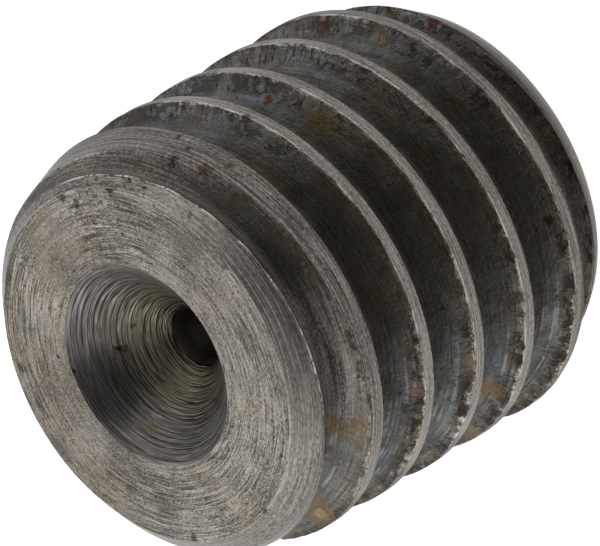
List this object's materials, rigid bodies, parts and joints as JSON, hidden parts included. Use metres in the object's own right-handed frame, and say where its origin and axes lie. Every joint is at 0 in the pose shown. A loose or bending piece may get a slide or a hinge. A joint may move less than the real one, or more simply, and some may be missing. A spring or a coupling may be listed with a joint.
{
  "type": "orifice restrictor screw",
  "caption": "Headless threaded steel screw with a hex socket in one end and a small metering orifice opening into a countersunk cup in the other.",
  "frame": {"origin": "centre of the flat face round the hex socket, on which the screw stands", "axes": "+Z along the screw's axis, from the socket end to the cup end"},
  "size_m": [0.006, 0.006, 0.0061],
  "materials": {
    "oxidised_steel": "turned bare steel, dark oxide in the thread, light rust stains"
  },
  "bodies": {
    "root": {"restrictor_body": "oxidised_steel"}
  },
  "joints": []
}
